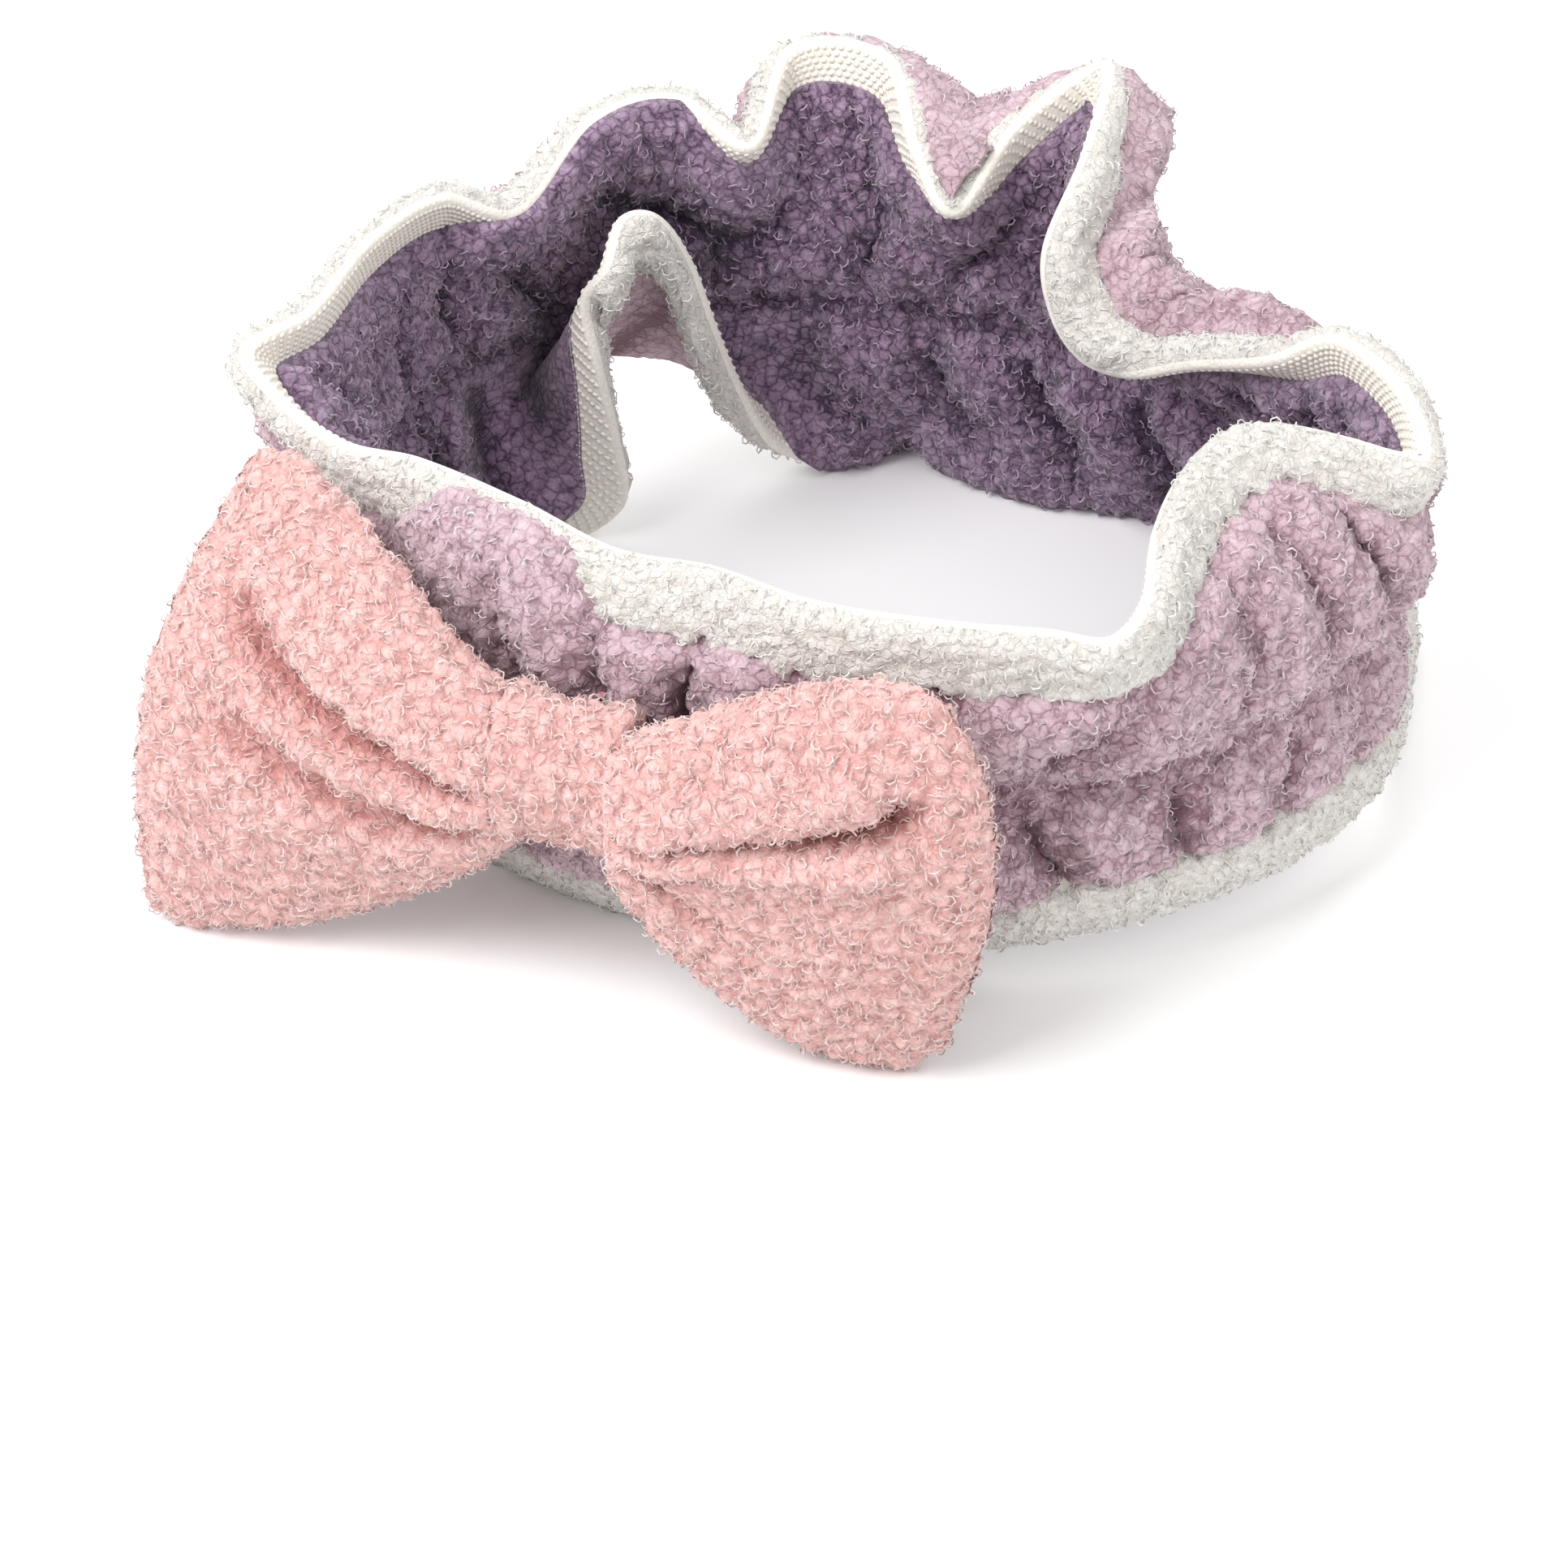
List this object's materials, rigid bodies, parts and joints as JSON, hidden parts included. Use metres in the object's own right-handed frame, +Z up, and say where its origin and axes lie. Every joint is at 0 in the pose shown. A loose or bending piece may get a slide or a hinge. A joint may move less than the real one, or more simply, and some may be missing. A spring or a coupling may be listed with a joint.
{
  "type": "spa headband",
  "caption": "Wide soft fleece headband gathered on a hidden elastic, with ruffled contrast edges and a pinched fleece bow sewn to the front.",
  "frame": {"origin": "on the surface that the headband stands on, under the middle of the whole", "axes": "+Z up along the height of the band, -Y out of the front where the bow is, +X to the wearer's left, which is the viewer's right"},
  "size_m": [0.191, 0.178, 0.085],
  "materials": {
    "mauve_fleece": "light mauve teddy fleece in small curled nubs",
    "purple_fleece": "dusty purple teddy fleece in small curled nubs",
    "cream_tape": "cream fleece edge tape, fuzzy outside, bumpy knit inside",
    "pink_fleece": "pale pink teddy fleece in small curled nubs",
    "white_elastic": "woven white elastic tape",
    "cream_thread": "cream polyester sewing thread",
    "pink_thread": "pink polyester sewing thread",
    "mauve_thread": "mauve polyester sewing thread"
  },
  "bodies": {
    "front_band": {"outer_panel_front": "mauve_fleece", "inner_panel_front": "purple_fleece", "upper_edge_tape_front": "cream_tape", "lower_edge_tape_front": "cream_tape", "elastic_front": "white_elastic", "upper_channel_seam_front": "mauve_thread", "lower_channel_seam_front": "mauve_thread", "upper_edge_seam_front": "cream_thread", "lower_edge_seam_front": "cream_thread", "bow_knot_wrap": "pink_fleece", "bow_cinch_thread": "pink_thread", "bow_waist": "pink_fleece", "bow_tack_upper": "pink_thread", "bow_tack_lower": "pink_thread"},
    "back_band": {"outer_panel_back": "mauve_fleece", "inner_panel_back": "purple_fleece", "upper_edge_tape_back": "cream_tape", "lower_edge_tape_back": "cream_tape", "elastic_back": "white_elastic", "upper_channel_seam_back": "mauve_thread", "lower_channel_seam_back": "mauve_thread", "upper_edge_seam_back": "cream_thread", "lower_edge_seam_back": "cream_thread"},
    "bow_left": {"bow_left_wing": "pink_fleece"},
    "bow_right": {"bow_right_wing": "pink_fleece"}
  },
  "joints": [
    {"name": "stretch", "type": "slide", "parent": "front_band", "child": "back_band", "axis": [0, 1, 0], "range_m": [0, 0.06], "stiffness_N_per_m": 60},
    {"name": "bow_left_flex", "type": "hinge", "parent": "front_band", "child": "bow_left", "pos_m": [-0.03383, -0.08127, 0.046], "axis": [0, 0, 1], "range_deg": [0, 25], "stiffness_Nm_per_rad": 0.03},
    {"name": "bow_right_flex", "type": "hinge", "parent": "front_band", "child": "bow_right", "pos_m": [-0.00883, -0.08127, 0.046], "axis": [0, 0, -1], "range_deg": [0, 25], "stiffness_Nm_per_rad": 0.03}
  ]
}
